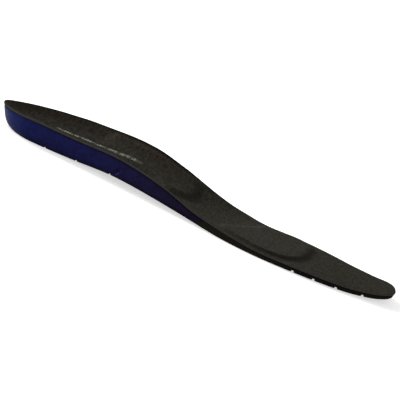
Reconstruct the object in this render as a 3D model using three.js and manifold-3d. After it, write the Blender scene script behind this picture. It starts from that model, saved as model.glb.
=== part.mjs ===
// A cupped insole for a right shoe: a fabric cover over a moulded heel cup and a forefoot foam layer.
// Millimetres, +X towards the toe, +Y towards the medial side (the arch), +Z up.
// The origin lies on the ground under the middle of the insole's length and width.
import * as THREE from "three";
import { mergeVertices } from "three/addons/utils/BufferGeometryUtils.js";
import Module from "manifold-3d";

const wasm = await Module();
wasm.setup();

// Plan sizes
const LENGTH = 288;
const HEEL_WIDTH = 63;
const WAIST_WIDTH = 67;
const BALL_WIDTH = 96;
const HEEL_CENTRE = 28;
const TOE_CENTRE = 34;

// Thicknesses, from the ground side to the top of the cover
const HEEL_COVER = 1.1;
const FOREFOOT_COVER = 1;
const HEEL_THICKNESS = 6.6;
const FOREFOOT_THICKNESS = 3.9;
const FIT_GAP = 0.3;

// Walls of the heel and arch, above the forefoot's thickness
const LATERAL_WALL = 12.8;
const MEDIAL_WALL = 16.6;
const WALL_RUN = 22;
const ARCH_RUN = 30;
const STEEP_RUN = 11;
const STEEP_SHARE = 0.3;
const SIDE_BLEND = 15;

// How the walls flatten out towards the middle: the power of the run that is left
const WALL_BEND = 1.5;

// Underside
const ARCH_LIFT = 3.3;
const TOE_SPRING = 4.5;
const HEEL_BACK_SLOPE = 10.4;
const HEEL_BACK_REACH = 30;
const SIDE_SLOPE = 4.4;
const EDGE_ROUND = 0.8;
const HEEL_OVERHANG = 0.9;
const FOREFOOT_OVERHANG = 0.3;

// How far the heel cup's front edge leans forwards for each millimetre up
const FRONT_LEAN = 1;

// Raised pads that show through the cover
const ARCH_PAD_RISE = 3;
const ARCH_PAD_EDGE = 10;
const BALL_PAD_RISE = 1.9;
const BALL_PAD_EDGE = 6;
const PAD_MARGIN = 6;

// Grooves across the underside
const FLEX_GROOVE_WIDTH = 2.2;
const FLEX_GROOVE_DEPTH = 1.15;
const HEEL_GROOVE_WIDTH = 1.6;
const HEEL_GROOVE_DEPTH = 0.9;
const GROOVE_DRAFT = 0.5;

// How far the ribs of the plan fan out at the heel and toe, and the most that a high wall adds to its slope
const FAN_SPREAD = 0.3;
const SLOPE_LIMIT = 1.2;

// How finely the surfaces are cut
const STEPS_PER_ROW = 5;
const PAD_STEPS = 48;
const FRONT_STEPS = 14;
const UNDERSIDE_STEP = 6;

// How far the blocks that trim the foam reach past it
const TRIM = 4;

// Plan outline, a row for each section: its place along the length, the width that it follows,
// and its reach to each side of the centre line as shares of that width
const outlineRows = [
  { at: 0.027, width: HEEL_WIDTH, lateral: 0.3, medial: 0.294 },
  { at: 0.078, width: HEEL_WIDTH, lateral: 0.463, medial: 0.46 },
  { at: 0.155, width: HEEL_WIDTH, lateral: 0.483, medial: 0.515 },
  { at: 0.283, width: WAIST_WIDTH, lateral: 0.495, medial: 0.445 },
  { at: 0.422, width: WAIST_WIDTH, lateral: 0.595, medial: 0.4 },
  { at: 0.545, width: BALL_WIDTH, lateral: 0.492, medial: 0.312 },
  { at: 0.649, width: BALL_WIDTH, lateral: 0.55, medial: 0.398 },
  { at: 0.74, width: BALL_WIDTH, lateral: 0.535, medial: 0.463 },
  { at: 0.835, width: BALL_WIDTH, lateral: 0.468, medial: 0.44 },
  { at: 0.92, width: BALL_WIDTH, lateral: 0.355, medial: 0.33 },
  { at: 0.977, width: BALL_WIDTH, lateral: 0.236, medial: 0.203 },
  { at: 0.995, width: BALL_WIDTH, lateral: 0.138, medial: 0.124 },
];

// Height of the walls above the forefoot's thickness, as shares of the lateral and the medial wall
const wallRows = [
  { at: 0, lateral: 0.78, medial: 0.617 },
  { at: 0.06, lateral: 0.87, medial: 0.723 },
  { at: 0.128, lateral: 0.95, medial: 0.88 },
  { at: 0.19, lateral: 0.9, medial: 0.976 },
  { at: 0.25, lateral: 0.865, medial: 1 },
  { at: 0.353, lateral: 0.745, medial: 0.973 },
  { at: 0.44, lateral: 0.545, medial: 0.765 },
  { at: 0.527, lateral: 0.19, medial: 0.42 },
  { at: 0.596, lateral: 0.115, medial: 0.205 },
  { at: 0.69, lateral: 0, medial: 0 },
  { at: 1, lateral: 0, medial: 0 },
];

// Lift of the underside off the ground, as shares of the arch's lift and of the toe's spring
const undersideRows = [
  { at: 0, arch: 0, toe: 0 },
  { at: 0.13, arch: 0, toe: 0 },
  { at: 0.21, arch: 0.28, toe: 0 },
  { at: 0.335, arch: 1, toe: 0 },
  { at: 0.49, arch: 0.56, toe: 0 },
  { at: 0.61, arch: 0, toe: 0 },
  { at: 0.69, arch: 0, toe: 0 },
  { at: 0.76, arch: 0, toe: 0.06 },
  { at: 0.88, arch: 0, toe: 0.14 },
  { at: 0.945, arch: 0, toe: 0.45 },
  { at: 1, arch: 0, toe: 1 },
];

// Thickness along the centre line: 1 is the heel's, 0 is the forefoot's
const thicknessRows = [
  { at: 0, heel: 1 },
  { at: 0.2, heel: 1 },
  { at: 0.34, heel: 0.55 },
  { at: 0.5, heel: 0.15 },
  { at: 0.6, heel: 0 },
  { at: 1, heel: 0 },
];

// Outer wall below its rim: how far in and how far down, as shares of its slope and height.
// The last row lies below the underside, which trims it
const wallProfile = [
  { in: 0.12, down: 0.25 },
  { in: 0.3, down: 0.55 },
  { in: 0.5, down: 0.78 },
  { in: 0.75, down: 0.93 },
  { in: 1.25, down: 1.12 },
];

// Rings of the cover and of the foam's top, as shares of the way from the edge to the centre line
const topRings = [0, 0.045, 0.1, 0.17, 0.25, 0.34, 0.44, 0.56, 0.7, 0.85];

// Corners of the raised pads, as shares of the length and of the ball's width, + on the medial side
const archPadCorners = [
  { at: 0.25, side: 0.24 },
  { at: 0.32, side: 0.08 },
  { at: 0.39, side: -0.03 },
  { at: 0.44, side: -0.14 },
  { at: 0.478, side: -0.09 },
  { at: 0.495, side: 0.05 },
  { at: 0.492, side: 0.18 },
  { at: 0.455, side: 0.34 },
  { at: 0.37, side: 0.36 },
  { at: 0.28, side: 0.36 },
];
const ballPadCorners = [
  { at: 0.59, side: -0.41 },
  { at: 0.655, side: -0.48 },
  { at: 0.715, side: -0.47 },
  { at: 0.755, side: -0.36 },
  { at: 0.782, side: -0.12 },
  { at: 0.79, side: 0.12 },
  { at: 0.794, side: 0.3 },
  { at: 0.762, side: 0.4 },
  { at: 0.69, side: 0.33 },
  { at: 0.655, side: 0.16 },
  { at: 0.62, side: -0.1 },
  { at: 0.59, side: -0.28 },
];

// Front edge of the heel cup across the waist, at the ground's height, as shares of the length and
// of the waist's width
const cupFrontRows = [
  { at: 0.528, side: -0.9 },
  { at: 0.526, side: -0.62 },
  { at: 0.498, side: -0.3 },
  { at: 0.498, side: 0.05 },
  { at: 0.526, side: 0.35 },
  { at: 0.551, side: 0.62 },
  { at: 0.551, side: 0.9 },
];

// Grooves in order along the length
const grooveRows = [
  { at: 0.149, width: HEEL_GROOVE_WIDTH, depth: HEEL_GROOVE_DEPTH },
  { at: 0.2275, width: HEEL_GROOVE_WIDTH, depth: HEEL_GROOVE_DEPTH },
  { at: 0.311, width: HEEL_GROOVE_WIDTH, depth: HEEL_GROOVE_DEPTH },
  { at: 0.766, width: FLEX_GROOVE_WIDTH, depth: FLEX_GROOVE_DEPTH },
  { at: 0.814, width: FLEX_GROOVE_WIDTH, depth: FLEX_GROOVE_DEPTH },
  { at: 0.866, width: FLEX_GROOVE_WIDTH, depth: FLEX_GROOVE_DEPTH },
  { at: 0.927, width: FLEX_GROOVE_WIDTH, depth: FLEX_GROOVE_DEPTH },
];

const finishes = {
  top_cover: { color: 0x31302c, roughness: 0.95, metalness: 0 },
  heel_cup: { color: 0x1b1e50, roughness: 0.45, metalness: 0 },
  foam_base: { color: 0x17140f, roughness: 0.85, metalness: 0 },
};

// A smooth value along a table's rows that never overshoots them
function along(rows, column, at) {
  const last = rows.length - 2;
  const i = Math.min(last, Math.max(0, rows.findIndex((row) => row.at > at) - 1));
  const from = at > rows[last].at ? last : i;
  const steps = rows.slice(1).map((row, k) => row.at - rows[k].at);
  const slopes = rows.slice(1).map((row, k) => (row[column] - rows[k][column]) / steps[k]);
  const tangent = (k) => {
    if (k === 0 || k === rows.length - 1) return 0;
    const [before, after] = [slopes[k - 1], slopes[k]];
    return before * after > 0 ? (2 * before * after) / (before + after) : 0;
  };
  const step = steps[from];
  const t = THREE.MathUtils.clamp((at - rows[from].at) / step, 0, 1);
  const start = rows[from][column];
  const end = rows[from + 1][column];
  return (
    start * (1 - 3 * t * t + 2 * t * t * t) +
    end * (3 * t * t - 2 * t * t * t) +
    tangent(from) * step * t * (1 - t) * (1 - t) -
    tangent(from + 1) * step * t * t * (1 - t)
  );
}

// Height of the underside above the ground
function undersideAt(x) {
  const at = x / LENGTH;
  return ARCH_LIFT * along(undersideRows, "arch", at) + TOE_SPRING * along(undersideRows, "toe", at);
}

// A thickness that is one value in the forefoot and another in the heel
function thicknessAt(x, forefoot, heel) {
  return THREE.MathUtils.lerp(forefoot, heel, along(thicknessRows, "heel", x / LENGTH));
}

// Height of the cover's top along the middle, between the walls
function floorAt(x) {
  return undersideAt(x) + thicknessAt(x, FOREFOOT_THICKNESS, HEEL_THICKNESS);
}

// How much a point of the outline belongs to the medial side, from 0 to 1
function medialShare(y) {
  return THREE.MathUtils.smoothstep(y, -SIDE_BLEND, SIDE_BLEND);
}

// Height of the cover's top at the outline
function rimAt(point) {
  const at = point.x / LENGTH;
  const lateral = LATERAL_WALL * along(wallRows, "lateral", at);
  const medial = MEDIAL_WALL * along(wallRows, "medial", at);
  const wall = THREE.MathUtils.lerp(lateral, medial, medialShare(point.y));
  return undersideAt(point.x) + FOREFOOT_THICKNESS + wall;
}

// How far the outer wall slopes inwards on its way down
function slopeAt(point) {
  const wall = rimAt(point) - undersideAt(point.x) - FOREFOOT_THICKNESS;
  const side = EDGE_ROUND + SIDE_SLOPE * THREE.MathUtils.clamp(wall / LATERAL_WALL, 0, SLOPE_LIMIT);
  const back = THREE.MathUtils.clamp(1 - point.x / HEEL_BACK_REACH, 0, 1);
  return THREE.MathUtils.lerp(side, HEEL_BACK_SLOPE, back);
}

function outlineCurve() {
  const side = (row, reach) => new THREE.Vector3(row.at * LENGTH, reach * row.width, 0);
  return new THREE.CatmullRomCurve3(
    [
      new THREE.Vector3(0, 0, 0),
      ...outlineRows.map((row) => side(row, -row.lateral)),
      new THREE.Vector3(LENGTH, 0, 0),
      ...outlineRows.map((row) => side(row, row.medial)).reverse(),
    ],
    true,
    "centripetal",
  );
}

// Place on the centre line that a section at x runs to: near the heel and toe the sections fan out
function centreAt(x) {
  const fan = (distance, centre) => {
    const reach = (2 * centre) / (1 - FAN_SPREAD);
    if (distance > reach) return distance;
    return centre + FAN_SPREAD * distance + ((1 - FAN_SPREAD) * distance * distance) / (2 * reach);
  };
  return x < LENGTH / 2 ? fan(x, HEEL_CENTRE) : LENGTH - fan(LENGTH - x, TOE_CENTRE);
}

// The ribs run from the outline to the centre line: down the lateral side, and back along the medial side
function makeRibs() {
  const curve = outlineCurve();
  const sections = (outlineRows.length + 1) * STEPS_PER_ROW;
  const count = 2 * sections;
  const edge = Array.from({ length: count }, (_, k) => curve.getPoint(k / count));
  const centre = Array.from({ length: sections + 1 }, (_, i) => {
    const [lateral, medial] = [edge[i], edge[(count - i) % count]];
    return new THREE.Vector3(centreAt((lateral.x + medial.x) / 2), (lateral.y + medial.y) / 2, 0);
  });
  return edge.map((point, k) => ({
    edge: point,
    centre: centre[Math.min(k, count - k)],
    rim: rimAt(point),
    slope: slopeAt(point),
    length: point.distanceTo(centre[Math.min(k, count - k)]),
  }));
}

function padOutline(corners) {
  const points = corners.map(({ at, side }) => new THREE.Vector3(at * LENGTH, side * BALL_WIDTH, 0));
  return new THREE.CatmullRomCurve3(points, true, "centripetal").getPoints(PAD_STEPS);
}

// Distance inside a closed outline: negative outside it
function depthInside(outline, point) {
  const nearest = new THREE.Vector3();
  let inside = false;
  let least = Infinity;
  for (let i = 1; i < outline.length; i++) {
    const [a, b] = [outline[i - 1], outline[i]];
    new THREE.Line3(a, b).closestPointToPoint(point, true, nearest);
    least = Math.min(least, nearest.distanceTo(point));
    const crosses = a.y > point.y !== b.y > point.y;
    if (crosses && point.x < a.x + ((b.x - a.x) * (point.y - a.y)) / (b.y - a.y)) inside = !inside;
  }
  return inside ? least : -least;
}

const pads = [
  { rise: ARCH_PAD_RISE, edge: ARCH_PAD_EDGE, outline: padOutline(archPadCorners) },
  { rise: BALL_PAD_RISE, edge: BALL_PAD_EDGE, outline: padOutline(ballPadCorners) },
];

// Rise of the pads at a point, fading out towards the edge of the cover
function padRise(point, fromEdge) {
  const fade = THREE.MathUtils.smoothstep(fromEdge, 0, PAD_MARGIN);
  const rises = pads.map((pad) => {
    const depth = depthInside(pad.outline, point);
    return pad.rise * THREE.MathUtils.smoothstep(depth, -pad.edge / 2, pad.edge / 2);
  });
  return fade * Math.max(...rises);
}

// A point of the cover's top, at a share of the way from the edge to the centre line,
// and how much thicker a layer there measures straight up than across its slope.
// On the medial side a share of the wall falls away steeply next to the rim
function topPoint(rib, share) {
  const point = rib.edge.clone().lerp(rib.centre, share);
  const flat = new THREE.Vector3(point.x, point.y, 0);
  const fromEdge = share * rib.length;
  const medial = medialShare(rib.edge.y);
  const run = Math.min(THREE.MathUtils.lerp(WALL_RUN, ARCH_RUN, medial), rib.length);
  const left = Math.max(0, 1 - fromEdge / run);
  const steepLeft = Math.max(0, 1 - fromEdge / STEEP_RUN);
  const steepShare = STEEP_SHARE * medial;
  const wall = rib.rim - floorAt(rib.edge.x);
  const height = THREE.MathUtils.lerp(left ** WALL_BEND, steepLeft ** 2, steepShare);
  const gentleSlope = (WALL_BEND * left ** (WALL_BEND - 1)) / run;
  const slope = THREE.MathUtils.lerp(gentleSlope, (2 * steepLeft) / STEEP_RUN, steepShare);
  point.z = floorAt(point.x) + wall * height + padRise(flat, fromEdge);
  return { point, stretch: Math.hypot(1, wall * slope) };
}

// Points of the cover's top, or at a depth below it, a ring for each share from the centre line to
// the edge, where the last ring stands back by an overhang
function layerRings(ribs, depthAt, overhangAt) {
  return [1, ...topRings.slice().reverse()].map((share) =>
    ribs.map((rib) => {
      const { point, stretch } = topPoint(rib, Math.max(share, overhangAt(rib.edge.x) / rib.length));
      point.z -= depthAt(point.x) * stretch;
      return point;
    }),
  );
}

function coverThicknessAt(x) {
  return thicknessAt(x, FOREFOOT_COVER, HEEL_COVER);
}

// How far the cover reaches past the foam under it
function overhangAt(x) {
  return thicknessAt(x, FOREFOOT_OVERHANG, HEEL_OVERHANG);
}

// Rings of the outer wall below an edge ring, and of a flat bottom well below the underside
function wallRings(ribs, edgeRing) {
  const wall = wallProfile.map((row) =>
    ribs.map((rib, k) => {
      const start = edgeRing[k];
      const point = start.clone().lerp(rib.centre, (row.in * rib.slope) / rib.length);
      point.z = THREE.MathUtils.lerp(start.z, undersideAt(point.x), row.down);
      return point;
    }),
  );
  const foot = wall[wall.length - 1].map((point) => point.clone().setZ(-TRIM));
  const centre = ribs.map((rib) => rib.centre.clone().setZ(-TRIM));
  return [...wall, foot, centre];
}

// One closed solid through rings that start and end on the centre line. Each cell is split along
// its shorter diagonal in plan, so that layers over the same cells stay parallel
function ringSolid(rings) {
  const count = rings[0].length;
  const positions = rings.flatMap((ring) => ring.flatMap((point) => point.toArray()));
  const index = [];
  const flatLength = (from, to) => Math.hypot(to.x - from.x, to.y - from.y);
  for (let j = 0; j + 1 < rings.length; j++) {
    for (let k = 0; k < count; k++) {
      const next = (k + 1) % count;
      const [a, b, c, d] = [j * count + k, j * count + next, (j + 1) * count + next, (j + 1) * count + k];
      const risingSplit = flatLength(rings[j][k], rings[j + 1][next]);
      const fallingSplit = flatLength(rings[j][next], rings[j + 1][k]);
      if (risingSplit < fallingSplit) index.push(a, d, c, a, c, b);
      else index.push(a, d, b, b, d, c);
    }
  }
  const geometry = new THREE.BufferGeometry();
  geometry.setAttribute("position", new THREE.Float32BufferAttribute(positions, 3));
  geometry.setIndex(index);
  return solidOf(geometry);
}

function solidOf(geometry) {
  const bare = geometry.clone();
  bare.deleteAttribute("normal");
  bare.deleteAttribute("uv");
  const merged = mergeVertices(bare);
  const corners = merged.index.array;
  const triVerts = [];
  for (let i = 0; i < corners.length; i += 3) {
    const [a, b, c] = [corners[i], corners[i + 1], corners[i + 2]];
    if (a !== b && b !== c && c !== a) triVerts.push(a, b, c);
  }
  return new wasm.Manifold(
    new wasm.Mesh({
      numProp: 3,
      vertProperties: merged.attributes.position.array,
      triVerts: new Uint32Array(triVerts),
    }),
  );
}

function meshOf(name, solid) {
  const { vertProperties, triVerts } = solid.getMesh();
  const geometry = new THREE.BufferGeometry();
  geometry.setAttribute("position", new THREE.BufferAttribute(vertProperties, 3));
  geometry.setIndex(new THREE.BufferAttribute(triVerts, 1));
  geometry.computeVertexNormals();
  const mesh = new THREE.Mesh(geometry, new THREE.MeshStandardMaterial(finishes[name]));
  mesh.name = name;
  return mesh;
}

function topCover(ribs) {
  const flush = () => 0;
  const top = layerRings(ribs, () => 0, flush);
  const under = layerRings(ribs, coverThicknessAt, flush).reverse();
  return ringSolid([...top, ...under]);
}

// The underside's line along the length, with the grooves that cross it
function undersideLine() {
  const grooves = grooveRows.map(({ at, width, depth }) => {
    const middle = at * LENGTH;
    const height = undersideAt(middle) + depth;
    const [from, to] = [middle - width / 2, middle + width / 2];
    return [
      new THREE.Vector2(from, undersideAt(from)),
      new THREE.Vector2(from + GROOVE_DRAFT, height),
      new THREE.Vector2(to - GROOVE_DRAFT, height),
      new THREE.Vector2(to, undersideAt(to)),
    ];
  });
  const starts = [-TRIM, ...grooves.map((groove) => groove[groove.length - 1].x)];
  const ends = [...grooves.map((groove) => groove[0].x), LENGTH + TRIM];
  return starts.flatMap((start, i) => {
    const steps = Math.ceil((ends[i] - start) / UNDERSIDE_STEP);
    const plain = Array.from({ length: steps - 1 }, (_, k) => {
      const x = THREE.MathUtils.lerp(start, ends[i], (k + 1) / steps);
      return new THREE.Vector2(x, undersideAt(x));
    });
    return [...plain, ...(grooves[i] ?? [])];
  });
}

// A block above the underside, as wide as the insole and more
function aboveUnderside() {
  const top = MEDIAL_WALL + HEEL_THICKNESS + ARCH_LIFT + TRIM;
  const shape = new THREE.Shape([
    new THREE.Vector2(-TRIM, undersideAt(0)),
    ...undersideLine(),
    new THREE.Vector2(LENGTH + TRIM, undersideAt(LENGTH)),
    new THREE.Vector2(LENGTH + TRIM, top),
    new THREE.Vector2(-TRIM, top),
  ]);
  const block = new THREE.ExtrudeGeometry(shape, { depth: 2 * BALL_WIDTH, bevelEnabled: false });
  block.rotateX(Math.PI / 2);
  block.translate(0, BALL_WIDTH, 0);
  return solidOf(block);
}

// Everything under the cover, before it is divided into the heel cup and the forefoot's foam
function underlay(ribs) {
  const top = layerRings(ribs, (x) => coverThicknessAt(x) + FIT_GAP, overhangAt);
  const rough = ringSolid([...top, ...wallRings(ribs, top[top.length - 1])]);
  return rough.intersect(aboveUnderside());
}

// A block behind the heel cup's leaning front edge, grown forwards by a gap
function behindCupFront(gap) {
  const points = cupFrontRows.map(({ at, side }) => new THREE.Vector2(at * LENGTH + gap, side * WAIST_WIDTH));
  const front = new THREE.SplineCurve(points).getPoints(FRONT_STEPS);
  const height = 2 * (MEDIAL_WALL + HEEL_THICKNESS + ARCH_LIFT + TRIM);
  const back = -TRIM - (FRONT_LEAN * height) / 2;
  const shape = new THREE.Shape([
    new THREE.Vector2(back, front[0].y),
    ...front,
    new THREE.Vector2(back, front[front.length - 1].y),
  ]);
  const block = new THREE.ExtrudeGeometry(shape, { depth: height, bevelEnabled: false });
  block.translate(0, 0, -height / 2);
  block.applyMatrix4(new THREE.Matrix4().makeShear(0, 0, 0, 0, FRONT_LEAN, 0));
  return solidOf(block);
}

function heelCup(foam) {
  return foam.intersect(behindCupFront(0));
}

function foamBase(foam) {
  return foam.subtract(behindCupFront(FIT_GAP));
}

const ribs = makeRibs();
const foam = underlay(ribs);
const insole = new THREE.Group();
insole.add(meshOf("top_cover", topCover(ribs)));
insole.add(meshOf("heel_cup", heelCup(foam)));
insole.add(meshOf("foam_base", foamBase(foam)));

// The ground point under the middle of the outline becomes the origin
const middle = new THREE.Box3().setFromPoints(ribs.map((rib) => rib.edge)).getCenter(new THREE.Vector3());
insole.position.set(-middle.x, -middle.y, 0);

const part = new THREE.Group();
part.add(insole);

export default part;
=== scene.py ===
"""The looks of a cupped insole: its fabric cover, its two foams and a plain studio round it."""

import math

import bmesh
import bpy
import numpy as np
from bpy.props import FloatProperty, FloatVectorProperty, IntProperty, PointerProperty
from mathutils import Matrix, Vector


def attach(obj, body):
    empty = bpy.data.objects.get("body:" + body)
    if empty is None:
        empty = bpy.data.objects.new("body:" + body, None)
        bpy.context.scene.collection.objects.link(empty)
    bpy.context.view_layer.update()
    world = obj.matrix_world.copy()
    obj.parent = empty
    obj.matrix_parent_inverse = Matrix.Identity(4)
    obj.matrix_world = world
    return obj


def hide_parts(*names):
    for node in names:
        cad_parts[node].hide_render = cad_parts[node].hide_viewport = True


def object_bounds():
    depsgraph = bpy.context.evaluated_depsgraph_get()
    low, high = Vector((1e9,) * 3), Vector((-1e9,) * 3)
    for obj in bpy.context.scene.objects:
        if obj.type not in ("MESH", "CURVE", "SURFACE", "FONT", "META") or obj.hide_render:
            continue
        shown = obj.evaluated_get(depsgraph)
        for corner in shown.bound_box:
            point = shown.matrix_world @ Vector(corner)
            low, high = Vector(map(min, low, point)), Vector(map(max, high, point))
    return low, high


bl_info = {
    "name": "Cupped insole",
    "version": (1, 0, 0),
    "blender": (4, 5, 0),
    "location": "3D View > Sidebar > Insole",
    "description": "Makes a fabric-covered foam insole and a plain studio for it",
    "category": "Add Mesh",
}

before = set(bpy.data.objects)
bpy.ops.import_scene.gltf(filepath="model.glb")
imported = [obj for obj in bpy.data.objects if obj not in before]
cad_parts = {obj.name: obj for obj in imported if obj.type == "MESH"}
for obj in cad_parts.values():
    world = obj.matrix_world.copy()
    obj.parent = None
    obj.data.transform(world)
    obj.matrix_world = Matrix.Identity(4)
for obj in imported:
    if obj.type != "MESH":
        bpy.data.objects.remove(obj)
CAD_LOW, CAD_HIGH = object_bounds()
MM = 0.001

# Driving sizes of the plan
LENGTH = CAD_HIGH.x - CAD_LOW.x
HEEL_WIDTH = 63 * MM
WAIST_WIDTH = 67 * MM
BALL_WIDTH = 96 * MM
HEEL_CENTRE = 28 * MM
TOE_CENTRE = 34 * MM

# Heights and thicknesses
HEEL_COVER = 1.1 * MM
FOREFOOT_COVER = 1 * MM
HEEL_THICKNESS = 6.6 * MM
FOREFOOT_THICKNESS = 3.9 * MM
FIT_GAP = 0.3 * MM
LATERAL_WALL = 12.8 * MM
MEDIAL_WALL = 16.6 * MM
WALL_RUN = 22 * MM
ARCH_RUN = 30 * MM
STEEP_RUN = 11 * MM
STEEP_SHARE = 0.3
SIDE_BLEND = 15 * MM

# How the walls flatten out towards the middle: the power of the run that is left
WALL_BEND = 1.5

# Most that a wall's slope may pass the lateral wall's own, and how far the ribs spread at the ends
SLOPE_LIMIT = 1.2
FAN_SPREAD = 0.3

# The underside and the edges
ARCH_LIFT = 3.3 * MM
TOE_SPRING = 4.5 * MM
HEEL_BACK_SLOPE = 10.4 * MM
HEEL_BACK_REACH = 30 * MM
SIDE_SLOPE = 4.4 * MM
EDGE_ROUND = 0.8 * MM
HEEL_OVERHANG = 0.9 * MM
FOREFOOT_OVERHANG = 0.3 * MM
FRONT_LEAN = 1
PAD_MARGIN = 6 * MM
TRIM = 4 * MM

# Plan outline: share of the length, a width, and its shares on the lateral and the medial side
OUTLINE_ROWS = (
    (0.027, HEEL_WIDTH, 0.3, 0.294),
    (0.078, HEEL_WIDTH, 0.463, 0.46),
    (0.155, HEEL_WIDTH, 0.483, 0.515),
    (0.283, WAIST_WIDTH, 0.495, 0.445),
    (0.422, WAIST_WIDTH, 0.595, 0.4),
    (0.545, BALL_WIDTH, 0.492, 0.312),
    (0.649, BALL_WIDTH, 0.55, 0.398),
    (0.74, BALL_WIDTH, 0.535, 0.463),
    (0.835, BALL_WIDTH, 0.468, 0.44),
    (0.92, BALL_WIDTH, 0.355, 0.33),
    (0.977, BALL_WIDTH, 0.236, 0.203),
    (0.995, BALL_WIDTH, 0.138, 0.124),
)

# Walls: share of the length, and shares of the lateral and the medial wall's height
WALL_ROWS = (
    (0, 0.78, 0.617),
    (0.06, 0.87, 0.723),
    (0.128, 0.95, 0.88),
    (0.19, 0.9, 0.976),
    (0.25, 0.865, 1),
    (0.353, 0.745, 0.973),
    (0.44, 0.545, 0.765),
    (0.527, 0.19, 0.42),
    (0.596, 0.115, 0.205),
    (0.69, 0, 0),
    (1, 0, 0),
)

# Underside: share of the length, of the arch's lift and of the toe's spring
UNDERSIDE_ROWS = (
    (0, 0, 0),
    (0.13, 0, 0),
    (0.21, 0.28, 0),
    (0.335, 1, 0),
    (0.49, 0.56, 0),
    (0.61, 0, 0),
    (0.69, 0, 0),
    (0.76, 0, 0.06),
    (0.88, 0, 0.14),
    (0.945, 0, 0.45),
    (1, 0, 1),
)

# Thickness: share of the length, and how far it is from the forefoot's to the heel's
THICKNESS_ROWS = ((0, 1), (0.2, 1), (0.34, 0.55), (0.5, 0.15), (0.6, 0), (1, 0))

# Profile of the outer wall: share of its height down, share of its slope in
WALL_PROFILE = ((0, 0), (0.25, 0.12), (0.55, 0.3), (0.78, 0.5), (0.93, 0.75), (1.12, 1.25))

# Corners of the pads: share of the length, share of the ball's width
ARCH_PAD = (
    (0.25, 0.24),
    (0.32, 0.08),
    (0.39, -0.03),
    (0.44, -0.14),
    (0.478, -0.09),
    (0.495, 0.05),
    (0.492, 0.18),
    (0.455, 0.34),
    (0.37, 0.36),
    (0.28, 0.36),
)
BALL_PAD = (
    (0.59, -0.41),
    (0.655, -0.48),
    (0.715, -0.47),
    (0.755, -0.36),
    (0.782, -0.12),
    (0.79, 0.12),
    (0.794, 0.3),
    (0.762, 0.4),
    (0.69, 0.33),
    (0.655, 0.16),
    (0.62, -0.1),
    (0.59, -0.28),
)

# Front edge of the heel cup at the ground's height: share of the length, share of the waist's width
CUP_FRONT = (
    (0.528, -0.9),
    (0.526, -0.62),
    (0.498, -0.3),
    (0.498, 0.05),
    (0.526, 0.35),
    (0.551, 0.62),
    (0.551, 0.9),
)

# Grooves across the underside: width and depth, and where they lie as shares of the length
HEEL_GROOVE = (1.6 * MM, 0.9 * MM)
FOREFOOT_GROOVE = (2.2 * MM, 1.15 * MM)
GROOVES = (
    *((at, *HEEL_GROOVE) for at in (0.149, 0.2275, 0.311)),
    *((at, *FOREFOOT_GROOVE) for at in (0.766, 0.814, 0.866, 0.927)),
)

# Section of a groove: shares of its width and of its depth
GROOVE_PROFILE = ((-0.42, 0.15), (-0.34, 0.8), (-0.22, 1), (0.22, 1), (0.34, 0.8), (0.42, 0.15))

# How finely the surfaces are made. The crowding is a power that draws rings towards the edge
STEPS_PER_ROW = 15
COVER_RINGS = 34
HIDDEN_RINGS = 10
WALL_RINGS = 16
RING_CROWDING = 1.2
PAD_POINTS = 96
FRONT_POINTS = 60
UNDERSIDE_STEP = 3 * MM
WELD_DISTANCE = 0.001 * MM
SHARP_ANGLE = math.radians(35)

# Cut edge of the cover: shares of its radius in and down, and how much each ring shows the backing
EDGE_PROFILE = ((0.5, 0.07), (0.15, 0.35), (0, 0.85))
EDGE_TONES = (0.15, 0.6, 1, 1, 1, 1)

# Pads: where the slope begins and ends, and where the cloth over it is loose, as shares of the
# pad's edge inwards from its outline
PAD_SLOPE = (-0.5, 0.5)
PAD_LOOSE = (0, 0.8)

# Painted shade and painted light on the pads' borders: plan direction from the shaded border to
# the lit one, middle and width of the painted shade as shares of the pad's edge, its most on the
# lit and on the dark side, and the rings from the cover's edge over which it sets in
PAD_SHADE = np.array([-0.82, 0.57])
PAD_SHADING_MIDDLE = -0.1
PAD_SHADING_WIDTH = 0.54
PAD_SHADING_LIMITS = (-0.25, 0.75)
PAD_SHADING_RINGS = (1, 6)

# The medial rim, darker along its rolled edge, mixed towards the same dark brown as the pads' painted
# shade: how dark, and between which distances from the edge that fades
RIM_DARK = 0.55
RIM_FADE = (0.5 * MM, 1.8 * MM)

# The medial wall's browner, darker tone, partly a browner tint and partly painted shade: distance
# from the edge where it ends at the heel and at the arch, where along the length it goes from one to
# the other, where it fades out, and its soft border
WALL_TONE_ENDS = (9 * MM, 12.3 * MM)
WALL_TONE_TURN = (60 * MM, 90 * MM)
WALL_TONE_FADE = (125 * MM, 150 * MM)
WALL_TONE_BORDER = (-1 * MM, 0.6 * MM)
WALL_TONE_SHIFT = 10 * MM

# Cover's tones along the flat cut, in millimetres from the heel: where the heel's painted shade
# ends, where the painted light on the ball begins and ends, and where the toes' tone comes in
HEEL_SHADE_END = (50, 85)
BALL_LIGHT_START = (155, 190)
BALL_LIGHT_END = (215, 250)
TOE_TONE_START = (170, 235)

# Knit: length of a stitch to its width, how far its legs slant, and its depth
KNIT_ROW = 0.8
KNIT_SLANT = 0.9
KNIT_DEPTH = 0.12 * MM
TURN = 2 * math.pi

# Printed bars, in millimetres of the flat cut: ends and bow of the row, and the bars' height,
# soft border and pitch
MARKS_FROM = Vector((35.5, 14.7))
MARKS_TO = Vector((101.5, 6.9))
MARKS_BOW = 2.2
MARK_HEIGHT = 2.6
MARK_BORDER = (MARK_HEIGHT / 2 - 0.3, MARK_HEIGHT / 2 + 0.1)
MARK_PITCH = 1.9

# Shares of the row: where it fades in and out, and the place and border of its rubbed-off part
MARKS_FADE_IN = (-0.02, 0.07)
MARKS_FADE_OUT = (0.88, 1.03)
MARKS_RUBBED_AT = 0.56
MARKS_RUBBED = (0.02, 0.06)

# Cloth simulation of the cover over its pads
CLOTH_SCALE = 10
CLOTH_PRESSURE = 4
CLOTH_QUALITY = 4

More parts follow.
